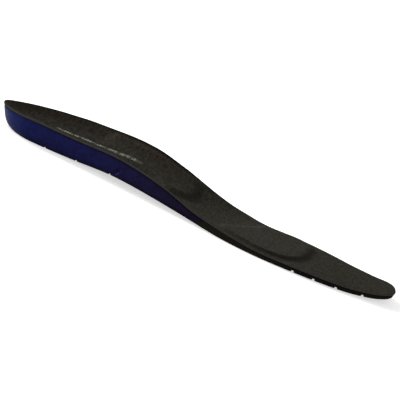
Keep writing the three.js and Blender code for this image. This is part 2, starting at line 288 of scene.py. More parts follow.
# Foam: radius of its top edge, share of it at the shoulder ring, and depth of its skin and cells
FOAM_ROUND = 0.3 * MM
FOAM_SHOULDER = 0.3
SKIN_DEPTH = 0.06 * MM
CELL_DEPTH = 0.1 * MM

# Foams' tones, in millimetres forwards of the insole's middle; the first is where the painted light
# round the heel's back ends
BACK_LIGHT_END = (-142, -95)
FRONT_TONE_START = (-97, 13)
RIM_SHADE_START = (-128, -96)
FOREFOOT_TONE_END = (30, 95)

# Heel foam's shades, in millimetres below the rim, above the underside and above the ground
RIM_SHADE = (1.2, 4.2)
BOTTOM_SHADE = (0.9, 2.9)
LOW_SHADE = (0, 6)

# A short scoop in the lateral wall: its middle, slant and half sizes, then in millimetres from its
# middle where its ends fade, its painted highlight's border, and the place and border of its painted
# shade, and from the insole's middle where its tones stop
SCOOP_PLACE = Vector((-48.9, -28.9, 6.8)) * MM
SCOOP_SLANT = math.radians(53)
SCOOP_SIZE = Vector((3.3, 1.3, 1.2)) * MM
SCOOP_ENDS = (1.8, 3.4)
SCOOP_HIGHLIGHT = (0.3, 1.2)
SCOOP_SHADE_AT = 2.1
SCOOP_SHADE = (0.6, 1.5)
SCOOP_SIDE = (0, 5)

# The floor: radii of its level rings, and the radius of the bend that rises round it
FLOOR_RADII = (0.001, 0.5, 1.5, 2.5)
FLOOR_BEND = 1.2
FLOOR_SIDES = 96
FLOOR_STEPS = 12

# The light and the sky
SKY_STRENGTH = 0.3
KEY_PLACE = Vector((-1.0, 0.45, 0.85))
KEY_SIZE = 0.8
KEY_POWER = 16

# The camera: azimuth, elevation and roll in degrees, target, distance, lens and sensor
CAMERA_ANGLES = (4.5656, 10.4328, 24.1968)
CAMERA_TARGET = Vector((0.00314, 0.00204, 0.0081))
CAMERA_DISTANCE = 0.7053
CAMERA_LENS = 96.14
CAMERA_SENSOR = 36
CAMERA_NEAR = 0.05


def length(name, description, default):
    """A length that a user can change."""
    return FloatProperty(
        name=name, description=description, default=default, unit="LENGTH", subtype="DISTANCE"
    )


def colour(name, description, default):
    """A colour that a user can change."""
    return FloatVectorProperty(
        name=name, description=description, default=default, subtype="COLOR", min=0, max=1
    )


class InsoleSizes(bpy.types.PropertyGroup):
    """Sizes of the cover, its pads and its weave"""

    arch_pad_rise: length(
        "Arch pad rise", "How far the arch pad stands above the cover round it", 3 * MM
    )
    arch_pad_edge: length("Arch pad edge", "Width of the slope round the arch pad", 10 * MM)
    ball_pad_rise: length(
        "Ball pad rise", "How far the ball pad stands above the cover round it", 1.9 * MM
    )
    ball_pad_edge: length("Ball pad edge", "Width of the slope round the ball pad", 6 * MM)
    pad_swell: length("Pad swell", "The most that the cover bulges over a pad", 0.7 * MM)
    cover_round: length("Cover edge radius", "Radius of the cover's cut edge", 0.42 * MM)
    knit_pitch: length("Knit pitch", "Width of one column of stitches", 0.9 * MM)
    swell_frames: IntProperty(
        name="Swell frames",
        description="Frames for which the cover is simulated over its pads",
        default=20,
        min=1,
    )


class InsoleColours(bpy.types.PropertyGroup):
    """Colours of the cover, the foams and the studio"""

    cover: colour("Cover", "Charcoal face of the cover", (0.0325, 0.0305, 0.0234))
    cover_front: colour(
        "Cover at the toes", "Darker, more olive tone of the cover's front", (0.0298, 0.0286, 0.0202)
    )
    # Browner tone, used for random brown patches and, up the medial wall, as painted shade too
    cover_wall: colour(
        "Cover on the wall", "Browner tone of the cover up the medial wall", (0.032, 0.0265, 0.0205)
    )
    # Dark brown of the painted shade on the pads' shaded borders, also laid along the medial rim
    painted_shading: colour("Crease", "Dark brown of the pads' shaded borders", (0.0075, 0.0058, 0.0042))
    cut_edge: colour(
        "Cut edge", "Paler backing that shows at the cover's cut edge", (0.036, 0.034, 0.03)
    )
    marks: colour("Printed marks", "Grey print on the cover", (0.34, 0.34, 0.29))
    heel_foam: colour("Heel foam", "Navy blue of the heel cup", (0.0062, 0.0068, 0.0455))
    # Painted light: a brighter blue round the heel's back, where the key light falls
    heel_foam_back_lit: colour(
        "Heel foam at its back", "Brighter blue round the back of the heel", (0.0045, 0.0105, 0.066)
    )
    heel_foam_front: colour(
        "Heel foam at its front", "Darker navy where the heel cup ends", (0.0072, 0.0045, 0.017)
    )
    forefoot_foam: colour(
        "Forefoot foam", "Near-black of the forefoot's foam", (0.0054, 0.0046, 0.0033)
    )
    floor: colour("Floor", "Pale studio floor", (0.9, 0.9, 0.9))


def lerp(low, high, share):
    return low + (high - low) * share


def smoothstep(value, low, high):
    t = np.clip((value - low) / (high - low), 0, 1)
    return t * t * (3 - 2 * t)


def along(rows, column, at):
    """A smooth value along a table's rows that never overshoots them."""
    table = np.array(rows, float)
    places, values = table[:, 0], table[:, column]
    steps = np.diff(places)
    slopes = np.diff(values) / steps
    before, after = slopes[:-1], slopes[1:]
    total = before + after
    inner = np.where(before * after > 0, 2 * before * after / np.where(total == 0, 1, total), 0)
    tangents = np.concatenate([[0], inner, [0]])
    i = np.clip(np.searchsorted(places, at, side="right") - 1, 0, len(steps) - 1)
    t = np.clip((at - places[i]) / steps[i], 0, 1)
    ends = lerp(values[i], values[i + 1], t * t * (3 - 2 * t))
    bend = tangents[i] * t * (1 - t) ** 2 - tangents[i + 1] * t * t * (1 - t)
    return ends + bend * steps[i]


def closed_curve(corners, count):
    """Points of a smooth closed curve through the corners."""
    corners = np.array(corners, float)
    total = len(corners)
    place = total * np.arange(count) / count
    i = place.astype(int)
    t = (place - i)[:, None]
    p0, p1, p2, p3 = (corners[(i + k) % total] for k in (-1, 0, 1, 2))
    d0, d1, d2 = (
        np.sqrt(np.linalg.norm(b - a, axis=1))[:, None] for a, b in ((p0, p1), (p1, p2), (p2, p3))
    )
    leave = ((p1 - p0) / d0 - (p2 - p0) / (d0 + d1) + (p2 - p1) / d1) * d1
    arrive = ((p2 - p1) / d1 - (p3 - p1) / (d1 + d2) + (p3 - p2) / d2) * d1
    square = 3 * (p2 - p1) - 2 * leave - arrive
    cube = 2 * (p1 - p2) + leave + arrive
    return p1 + leave * t + square * t**2 + cube * t**3


def open_curve(corners, count):
    """Points of a smooth open curve through the corners."""
    corners = np.array(corners, float)
    last = len(corners) - 1
    place = np.linspace(0, last, count)
    i = np.minimum(place.astype(int), last - 1)
    t = (place - i)[:, None]
    p0, p1, p2, p3 = (corners[np.clip(i + k, 0, last)] for k in (-1, 0, 1, 2))
    leave, arrive = (p2 - p0) / 2, (p3 - p1) / 2
    square = 3 * (p2 - p1) - 2 * leave - arrive
    cube = 2 * (p1 - p2) + leave + arrive
    return p1 + leave * t + square * t**2 + cube * t**3


def underside_at(x):
    at = x / LENGTH
    return ARCH_LIFT * along(UNDERSIDE_ROWS, 1, at) + TOE_SPRING * along(UNDERSIDE_ROWS, 2, at)


def thickness_at(x, forefoot, heel):
    return lerp(forefoot, heel, along(THICKNESS_ROWS, 1, x / LENGTH))


def cover_thickness_at(x):
    return thickness_at(x, FOREFOOT_COVER, HEEL_COVER)


def overhang_at(x):
    """How far the cover reaches past the foam under it."""
    return thickness_at(x, FOREFOOT_OVERHANG, HEEL_OVERHANG)


def floor_at(x):
    """Height of the cover's top between the walls."""
    return underside_at(x) + thickness_at(x, FOREFOOT_THICKNESS, HEEL_THICKNESS)


def medial_share(y):
    return smoothstep(y, -SIDE_BLEND, SIDE_BLEND)


def centre_at(x):
    """Place on the centre line that a rib at x runs to: the ribs fan out at the heel and toe."""

    def fan(distance, centre):
        reach = 2 * centre / (1 - FAN_SPREAD)
        curved = centre + FAN_SPREAD * distance + (1 - FAN_SPREAD) * distance**2 / (2 * reach)
        return np.where(distance > reach, distance, curved)

    return np.where(x < LENGTH / 2, fan(x, HEEL_CENTRE), LENGTH - fan(LENGTH - x, TOE_CENTRE))


class Ribs:
    """Lines from the outline to the centre line, all round the plan."""

    def __init__(self):
        lateral = [(at * LENGTH, -reach * width) for at, width, reach, _ in OUTLINE_ROWS]
        medial = [(at * LENGTH, reach * width) for at, width, _, reach in OUTLINE_ROWS]
        corners = [(0, 0), *lateral, (LENGTH, 0), *reversed(medial)]
        self.half = (len(OUTLINE_ROWS) + 1) * STEPS_PER_ROW
        self.count = 2 * self.half
        self.edge = closed_curve(corners, self.count)
        places = np.arange(self.half + 1)
        across = (self.edge[places] + self.edge[-places]) / 2
        middles = np.column_stack([centre_at(across[:, 0]), across[:, 1]])
        k = np.arange(self.count)
        self.centre = middles[np.minimum(k, self.count - k)]
        self.length = np.linalg.norm(self.centre - self.edge, axis=1)
        self.inward = (self.centre - self.edge) / self.length[:, None]
        x, y = self.edge.T
        at = x / LENGTH
        wall = lerp(
            LATERAL_WALL * along(WALL_ROWS, 1, at),
            MEDIAL_WALL * along(WALL_ROWS, 2, at),
            medial_share(y),
        )
        self.rim = underside_at(x) + FOREFOOT_THICKNESS + wall
        side = EDGE_ROUND + SIDE_SLOPE * np.clip(wall / LATERAL_WALL, 0, SLOPE_LIMIT)
        self.slope = lerp(side, HEEL_BACK_SLOPE, np.clip(1 - x / HEEL_BACK_REACH, 0, 1))
        self.run = np.minimum(lerp(WALL_RUN, ARCH_RUN, medial_share(y)), self.length)
        self.steep = STEEP_SHARE * medial_share(y)
        low, high = self.edge.min(0), self.edge.max(0)
        self.origin = (low + high) / 2

    def shares(self, first, steps):
        """Shares of the ribs from a distance in from the edge to the centre line, closer at the edge."""
        eased = np.linspace(0, 1, steps)[:, None] ** RING_CROWDING
        start = first / self.length
        return start + (1 - start) * eased


RIBS = Ribs()
PAD_OUTLINES = [
    closed_curve([(at * LENGTH, side * BALL_WIDTH) for at, side in pad], PAD_POINTS)
    for pad in (ARCH_PAD, BALL_PAD)
]


def depth_inside(outline, points):
    """Distance of each point inside a closed outline, less than 0 outside it."""
    a, b = outline, np.roll(outline, -1, axis=0)
    way = b - a
    apart = points[:, None] - a
    t = np.clip((apart * way).sum(2) / (way**2).sum(1), 0, 1)
    least = np.linalg.norm(apart - t[..., None] * way, axis=2).min(1)
    between = (a[:, 1] > points[:, None, 1]) != (b[:, 1] > points[:, None, 1])
    level = np.where(way[:, 1] == 0, 1, way[:, 1])
    crossing = a[:, 0] + way[:, 0] * (points[:, None, 1] - a[:, 1]) / level
    inside = (between & (points[:, None, 0] < crossing)).sum(1) % 2 == 1
    return np.where(inside, least, -least)


def pads():
    """Outline, rise and edge of each pad."""
    sizes = bpy.context.scene.insole_sizes
    return (
        (PAD_OUTLINES[0], sizes.arch_pad_rise, sizes.arch_pad_edge),
        (PAD_OUTLINES[1], sizes.ball_pad_rise, sizes.ball_pad_edge),
    )


def pad_depths(plan):
    """Distance inside each pad, as a share of its edge, for points of any array shape."""
    flat = plan.reshape(-1, 2)
    return [
        depth_inside(outline, flat).reshape(plan.shape[:-1]) / edge for outline, _, edge in pads()
    ]


def top_surface(shares):
    """Points of the cover's top at shares of the ribs, and how much steeper than level each is."""
    shares = np.maximum(shares, 0) + np.zeros(RIBS.count)
    plan = RIBS.edge + (RIBS.centre - RIBS.edge) * shares[..., None]
    from_edge = shares * RIBS.length
    left = np.maximum(0, 1 - from_edge / RIBS.run)
    steep = np.maximum(0, 1 - from_edge / STEEP_RUN)
    wall = RIBS.rim - floor_at(RIBS.edge[:, 0])
    depths = pad_depths(plan)
    rises = [rise * smoothstep(depth, *PAD_SLOPE) for depth, (_, rise, _) in zip(depths, pads())]
    rise = np.maximum(*rises) * smoothstep(from_edge, 0, PAD_MARGIN)
    z = floor_at(plan[..., 0]) + wall * lerp(left**WALL_BEND, steep**2, RIBS.steep) + rise
    gentle_slope = WALL_BEND * left ** (WALL_BEND - 1) / RIBS.run
    slope = wall * lerp(gentle_slope, 2 * steep / STEEP_RUN, RIBS.steep)
    points = np.concatenate([plan, z[..., None]], axis=-1)
    return points, np.hypot(1, slope), np.maximum(*depths)


def below_top(depth_at, shares):
    """Points of a layer at a depth below the cover's top."""
    points, stretch, _ = top_surface(shares)
    points[..., 2] -= depth_at(points[..., 0]) * stretch
    return points


def slit(ring):
    """A ring on the centre line, where opposite ribs share their points."""
    return ring[: RIBS.half + 1]


def from_middle(rings):
    """Rings that ran in from the edge, turned round so that they start as a slit."""
    return [slit(rings[-1]), *rings[-2::-1]]


def ring_faces(rings):
    """Quads between neighbouring rings of points, whose first and last ring may be slits."""
    k = np.arange(RIBS.count)
    starts = np.concatenate([[0], np.cumsum([len(ring) for ring in rings])])
    rows = [
        start + (k if len(ring) == RIBS.count else np.minimum(k, RIBS.count - k))
        for start, ring in zip(starts, rings)
    ]
    return np.concatenate(
        [np.column_stack([a, np.roll(a, -1), np.roll(b, -1), b]) for a, b in zip(rows, rows[1:])]
    )


def mesh_piece(name, points, faces):
    """An object whose mesh has these points, moved so that the plan's middle is at the origin."""
    mesh = bpy.data.meshes.new(name)
    placed = points - [*RIBS.origin, 0]
    mesh.from_pydata(placed.tolist(), [], faces.tolist())
    mesh.update()
    piece = bpy.data.objects.new(name, mesh)
    bpy.context.scene.collection.objects.link(piece)
    return piece


def ring_piece(name, rings):
    """A closed solid through rings of points."""
    piece = mesh_piece(name, np.concatenate(rings), ring_faces(rings))
    face_outwards(piece)
    return piece


def face_outwards(piece):
    work = bmesh.new()
    work.from_mesh(piece.data)
    bmesh.ops.recalc_face_normals(work, faces=work.faces)
    if work.calc_volume(signed=True) < 0:
        bmesh.ops.reverse_faces(work, faces=work.faces)
    work.to_mesh(piece.data)
    work.free()


def add_attribute(piece, name, kind, values):
    attribute = piece.data.attributes.new(name, kind, "POINT")
    key = "vector" if kind == "FLOAT_VECTOR" else "value"
    attribute.data.foreach_set(key, np.asarray(values, np.float32).ravel())


def apply_modifiers(piece):
    """Makes the piece's mesh what its modifiers give."""
    graph = bpy.context.evaluated_depsgraph_get()
    mesh = bpy.data.meshes.new_from_object(piece.evaluated_get(graph))
    piece.modifiers.clear()
    old, piece.data = piece.data, mesh
    bpy.data.meshes.remove(old)
    mesh.name = piece.name


def cut(piece, tool, operation):
    """Joins the piece with a closed tool, and removes the tool."""
    modifier = piece.modifiers.new("cut", "BOOLEAN")
    modifier.operation = operation
    modifier.solver = "MANIFOLD"
    modifier.object = tool
    apply_modifiers(piece)
    bpy.data.objects.remove(tool)


def smooth_shade(piece):
    piece.data.shade_smooth()
    piece.data.set_sharp_from_angle(angle=SHARP_ANGLE)


def prism(name, outline, low, high, upright):
    """A closed block: a plan outline raised from low to high, or a side profile drawn across."""
    outline = np.array(outline)
    count = len(outline)
    ends = []
    for level in (low, high):
        row = np.full(count, level)
        columns = (outline[:, 0], outline[:, 1], row) if upright else (outline[:, 0], row, outline[:, 1])
        ends.append(np.column_stack(columns))
    points = np.concatenate(ends) - [*RIBS.origin, 0]
    sides = [[i, (i + 1) % count, count + (i + 1) % count, count + i] for i in range(count)]
    faces = [list(range(count))[::-1], list(range(count, 2 * count)), *sides]
    mesh = bpy.data.meshes.new(name)
    mesh.from_pydata(points.tolist(), [], faces)
    block = bpy.data.objects.new(name, mesh)
    bpy.context.scene.collection.objects.link(block)
    face_outwards(block)
    return block


class Value:
    """A socket of a finish. Sums, products and comparisons of values add Math nodes to it."""

    def __init__(self, finish, socket):
        self.finish = finish
        self.socket = socket

    def __add__(self, other):
        return self.finish.math("ADD", self, other)

    __radd__ = __add__

    def __sub__(self, other):
        return self.finish.math("SUBTRACT", self, other)

    def __rsub__(self, other):
        return self.finish.math("SUBTRACT", other, self)

    def __mul__(self, other):
        return self.finish.math("MULTIPLY", self, other)

    __rmul__ = __mul__

    def __truediv__(self, other):
        return self.finish.math("DIVIDE", self, other)

    def __rtruediv__(self, other):
        return self.finish.math("DIVIDE", other, self)

    def __abs__(self):
        return self.finish.math("ABSOLUTE", self)

    def part(self, axis):
        """One axis of a vector, 0 to 2."""
        split = self.finish.node("SeparateXYZ", inputs={0: self})
        return Value(self.finish, split.socket.node.outputs[axis])

    def step(self, low, high):
        """0 below low and 1 above high, smooth between them."""
        return self.finish.node(
            "MapRange",
            {"interpolation_type": "SMOOTHSTEP"},
            {"Value": self, "From Min": low, "From Max": high},
        )


class Finish:
    """A material whose nodes are made by calls."""

    def __init__(self, name):
        self.material = bpy.data.materials.new(name)
        self.material.use_nodes = True
        self.tree = self.material.node_tree
        self.tree.nodes.clear()

    def node(self, kind, settings=None, inputs=None, output=0):
        """Adds a node: its settings first, then the values or links of its sockets."""
        made = self.tree.nodes.new("ShaderNode" + kind)
        for name, value in (settings or {}).items():
            setattr(made, name, value)
        for name, value in (inputs or {}).items():
            if isinstance(name, int):
                socket = made.inputs[name]
            else:
                socket = next(s for s in made.inputs if s.name == name and s.enabled)
            if isinstance(value, Value):
                self.tree.links.new(value.socket, socket)
            elif socket.type == "RGBA":
                socket.default_value = (*value[:3], 1)
            else:
                socket.default_value = value
        given = [s for s in made.outputs if s.enabled]
        return Value(self, given[output]) if given else None

    def math(self, operation, *values):
        return self.node("Math", {"operation": operation}, dict(enumerate(values)))

    def mix(self, share, first, second):
        """A colour between two: the first at a share of 0, the second at 1."""
        settings = {"data_type": "RGBA", "clamp_factor": True}
        return self.node("Mix", settings, {"Factor": share, "A": first, "B": second})

    def shaded(self, colour, value):
        """The colour times a value."""
        return self.node("VectorMath", {"operation": "SCALE"}, {0: colour, "Scale": value})

    def noise(self, place, scale, detail=2.0, roughness=0.5):
        inputs = {"Vector": place, "Scale": scale, "Detail": detail, "Roughness": roughness}
        return self.node("TexNoise", inputs=inputs)

    def measure(self, name):
        """A number that the mesh holds at each point."""
        return self.node("Attribute", {"attribute_name": name}, output=2)

    def millimetres(self, name=None):
        """A place that the mesh holds at each point, or else the point itself, in millimetres."""
        if name:
            place = self.node("Attribute", {"attribute_name": name}, output=1)
        else:
            place = self.node("TexCoord", output=3)
        return self.node("VectorMath", {"operation": "SCALE"}, {0: place, "Scale": 1 / MM})

    def bump(self, height, depth):
        """A normal for a height of 0 to 1 that is this deep in metres."""
        return self.node("Bump", inputs={"Height": height, "Distance": depth, "Strength": 1.0})

    def surface(self, inputs):
        """Ends the finish with a surface shader that has these inputs."""
        shader = self.node("BsdfPrincipled", inputs=inputs)
        self.node("OutputMaterial", inputs={"Surface": shader})
        return self.material


def knit_finish():
    """Charcoal knit with a short nap: browner with painted shade up the medial wall, painted light and
    shade on its pads, ball and heel, and paler where it is cut.
    """
    sizes, colours = bpy.context.scene.insole_sizes, bpy.context.scene.insole_colours
    knit = Finish("charcoal_knit")
    place = knit.millimetres("lay")
    cut_edge = knit.measure("cut")
    painted_shading = knit.measure("painted_shading")
    pitch = sizes.knit_pitch / MM

    # Columns of stitches run along the insole, and each stitch is a V
    column = place.part(1) / pitch
    beside = abs(knit.math("FRACT", column) - 0.5)
    row = place.part(0) / (KNIT_ROW * pitch) + beside * KNIT_SLANT
    stitch = knit.math("SINE", row * TURN) * 0.5 + 0.5
    column_height = 1 - (beside * 2).step(0.35, 1)
    nap = knit.noise(place, 2.6, detail=3.0, roughness=0.6)
    height = column_height * (stitch * 0.5 + 0.5) * 0.6 + nap * 0.4

    # The tone: flecks of single fibres, blotches of pressed nap, and broad painted light on the ball and
    # painted shade in the heel
    flecks = knit.noise(place, 1.1, detail=3.0, roughness=0.7)
    across = knit.node("VectorMath", {"operation": "MULTIPLY"}, {0: place, 1: (0.55, 0.2, 1)})
    streaks = knit.noise(across, 1.0, detail=3.0, roughness=0.75)
    blotches = knit.noise(place, 0.16, detail=2.0)
    grain = (flecks - 0.5) * 1.6 + (streaks - 0.5) * 2.4 + (blotches - 0.5) * 0.6
    ahead = place.part(0)
    # Painted light over the ball, painted shade over the heel
    painted_ball_light = ahead.step(*BALL_LIGHT_START) * (1 - ahead.step(*BALL_LIGHT_END))
    painted_light_and_shade = 1 + painted_ball_light * 0.16 - (1 - ahead.step(*HEEL_SHADE_END)) * 0.12
    tone = (0.62 + grain + height * 0.62) * painted_light_and_shade
    patches = knit.noise(place, 0.2, detail=3.0, roughness=0.6).step(0.46, 0.66)
    face = knit.mix(ahead.step(*TOE_TONE_START), colours.cover, colours.cover_front)
    face = knit.mix(patches * 0.55, face, colours.cover_wall)
    # Up the medial wall the cover is browner and darker: a browner tint and painted shade
    face = knit.mix(knit.measure("wall"), face, colours.cover_wall)
    face = knit.shaded(face, tone)
    # Painted shade on the pads' shaded borders and along the medial rim, painted light on their lit
    # borders
    face = knit.mix(painted_shading * 0.95, face, colours.painted_shading)
    face = knit.shaded(face, 1 + knit.math("MAXIMUM", 0 - painted_shading, 0) * 0.9)

    # A printed row of plain worn bars on the floor of the heel
    way = (MARKS_TO - MARKS_FROM).normalized()
    forwards, sideways = place.part(0) - MARKS_FROM.x, place.part(1) - MARKS_FROM.y
    along_row = forwards * way.x + sideways * way.y
    across_row = sideways * way.x - forwards * way.y
    share = along_row / (MARKS_TO - MARKS_FROM).length
    from_middle = abs(across_row - share * (1 - share) * 4 * MARKS_BOW)
    in_row = 1 - from_middle.step(*MARK_BORDER)
    in_length = share.step(*MARKS_FADE_IN) * (1 - share.step(*MARKS_FADE_OUT))
    rubbed_off = (1 - abs(share - MARKS_RUBBED_AT).step(*MARKS_RUBBED)) * 0.55
    bars = abs(knit.math("FRACT", along_row / MARK_PITCH) - 0.5).step(0.2, 0.3)
    breaks = knit.noise(place, 0.26, detail=1.0).step(0.38, 0.56) * 0.8 + 0.2
    worn = 0.55 + height * 0.45
    printed = in_row * in_length * (1 - rubbed_off) * (1 - bars * 0.6) * breaks * worn
    face = knit.mix(printed, face, colours.marks)
    edge_tone = knit.shaded(colours.cut_edge, 0.75 + flecks * 0.5)
    face = knit.mix(cut_edge, face, edge_tone)
    return knit.surface(
        {
            "Base Color": face,
            "Roughness": 0.86 + (flecks - 0.5) * 0.2,
            "Normal": knit.bump(height, KNIT_DEPTH),
            "Specular IOR Level": 0.02,
        }
    )


def heel_foam_finish():
    """Satin navy moulded foam: fine cells under a skin, with painted light round the back of the heel
    and painted shade low down, under the cover's edge, along the bottom and behind its scoop.
    """
    colours = bpy.context.scene.insole_colours
    foam = Finish("navy_satin_foam")
    place = foam.millimetres()
    cells = foam.node("TexVoronoi", {"feature": "F1"}, {"Vector": place, "Scale": 2.3})
    skin = foam.noise(place, 1.5, detail=4.0, roughness=0.65)
    blotches = foam.noise(place, 0.12, detail=2.0)
    height = cells * 0.45 + skin * 0.55
    ahead, up = place.part(0), place.part(2)
    face = foam.mix(ahead.step(*FRONT_TONE_START), colours.heel_foam, colours.heel_foam_front)
    # Painted light round the back of the heel
    face = foam.mix((1 - ahead.step(*BACK_LIGHT_END)) * 0.8, face, colours.heel_foam_back_lit)
    mottle = foam.noise(place, 0.45, detail=3.0, roughness=0.6)
    tone = 0.8 + (skin - 0.5) * 1.2 + (mottle - 0.5) * 1.1 + (blotches - 0.5) * 0.6 + cells * 0.22

    # Painted shade low down, under the cover's edge, and along the bottom
    tone = tone * (1 - (1 - up.step(*LOW_SHADE)) * 0.3)
    shade = (1 - foam.measure("below_rim").step(*RIM_SHADE)) * ahead.step(*RIM_SHADE_START)
    bottom = 1 - foam.measure("above_base").step(*BOTTOM_SHADE)
    tone = tone * (1.07 - shade * 0.55) * (1 - bottom * 0.6)

    # A painted highlight along the scoop's middle, and painted shade on the foam behind it
    scoop = SCOOP_PLACE / MM
    beside, above = ahead - scoop.x, up - scoop.z
    cosine, sine = math.cos(SCOOP_SLANT), math.sin(SCOOP_SLANT)
    in_length = 1 - abs(beside * cosine + above * sine).step(*SCOOP_ENDS)
    in_length = in_length * (1 - place.part(1).step(*SCOOP_SIDE))
    across = above * cosine - beside * sine
    painted_scoop_highlight = (1 - abs(across).step(*SCOOP_HIGHLIGHT)) * in_length
    painted_scoop_shade = (1 - abs(across - SCOOP_SHADE_AT).step(*SCOOP_SHADE)) * in_length
    tone = tone * (1 + painted_scoop_highlight * 1.9 - painted_scoop_shade * 0.5)
    return foam.surface(
        {
            "Base Color": foam.shaded(face, tone),
            "Roughness": 0.5 + (skin - 0.5) * 0.3,
            "Normal": foam.bump(height, SKIN_DEPTH),
            "Specular IOR Level": 0.03,
        }
    )


def forefoot_foam_finish():
    """Matt near-black foam whose small open cells show at its cut side."""
    colours = bpy.context.scene.insole_colours
    foam = Finish("black_cell_foam")
    place = foam.millimetres()
    cells = foam.node("TexVoronoi", {"feature": "F1"}, {"Vector": place, "Scale": 2.6})
    grain = foam.noise(place, 1.8, detail=4.0, roughness=0.7)
    blotches = foam.noise(place, 0.14, detail=2.0)
    tone = 0.7 + cells * 0.7 + (grain - 0.5) * 0.8 + (blotches - 0.5) * 0.5
    tone = tone * (1.7 - place.part(0).step(*FOREFOOT_TONE_END) * 0.7)
    return foam.surface(
        {
            "Base Color": foam.shaded(colours.forefoot_foam, tone),
            "Roughness": 0.88 + (grain - 0.5) * 0.15,
            "Normal": foam.bump(cells * 0.6 + grain * 0.4, CELL_DEPTH),
            "Specular IOR Level": 0.02,
        }
    )


def floor_finish():
    """Plain pale paper with a barely visible tooth."""
    paper = Finish("pale_floor")
    place = paper.millimetres()
    tooth = paper.noise(place, 0.4, detail=2.0)
    tone = 1 + (tooth - 0.5) * 0.01
    return paper.surface(
        {
            "Base Color": paper.shaded(bpy.context.scene.insole_colours.floor, tone),
            "Roughness": 0.95,
            "Specular IOR Level": 0.1,
            "Emission Color": (1, 1, 1),
            "Emission Strength": 0.6,
        }
    )


def dress(piece, material, node):
    """Gives a new piece its finish and its place in the frame."""
    piece.data.materials.clear()
    piece.data.materials.append(material)
    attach(piece, "root")
    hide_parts(node)


def swell(points, faces, loose, most, frames):
    """How far a sheet's points move when cloth is blown up where it is loose, each at most this far."""
    scene = bpy.context.scene
    mesh = bpy.data.meshes.new("swelling")
    mesh.from_pydata((points * CLOTH_SCALE).tolist(), [], faces.tolist())
    sheet = bpy.data.objects.new("swelling", mesh)
    scene.collection.objects.link(sheet)
    held = sheet.vertex_groups.new(name="held")
    for level in np.unique(np.round(loose, 2)):
        where = np.flatnonzero(np.round(loose, 2) == level)
        held.add(where.tolist(), float(1 - level), "REPLACE")
    cloth = sheet.modifiers.new("cloth", "CLOTH")
    cloth.settings.quality = CLOTH_QUALITY
    cloth.settings.vertex_group_mass = "held"
    cloth.settings.use_pressure = True
    cloth.settings.uniform_pressure_force = CLOTH_PRESSURE
    cloth.settings.effector_weights.gravity = 0
    for step in range(1, frames + 1):
        scene.frame_set(step)
    graph = bpy.context.evaluated_depsgraph_get()
    found = np.zeros(3 * len(points), np.float32)
    sheet.evaluated_get(graph).data.vertices.foreach_get("co", found)
    scene.frame_set(1)
    bpy.data.objects.remove(sheet)
    moved = found.reshape(-1, 3) / CLOTH_SCALE - points
    far = np.linalg.norm(moved, axis=1)[:, None]
    return moved * np.where(far > 0, most * np.tanh(far / most) / np.maximum(far, 1e-12), 0)


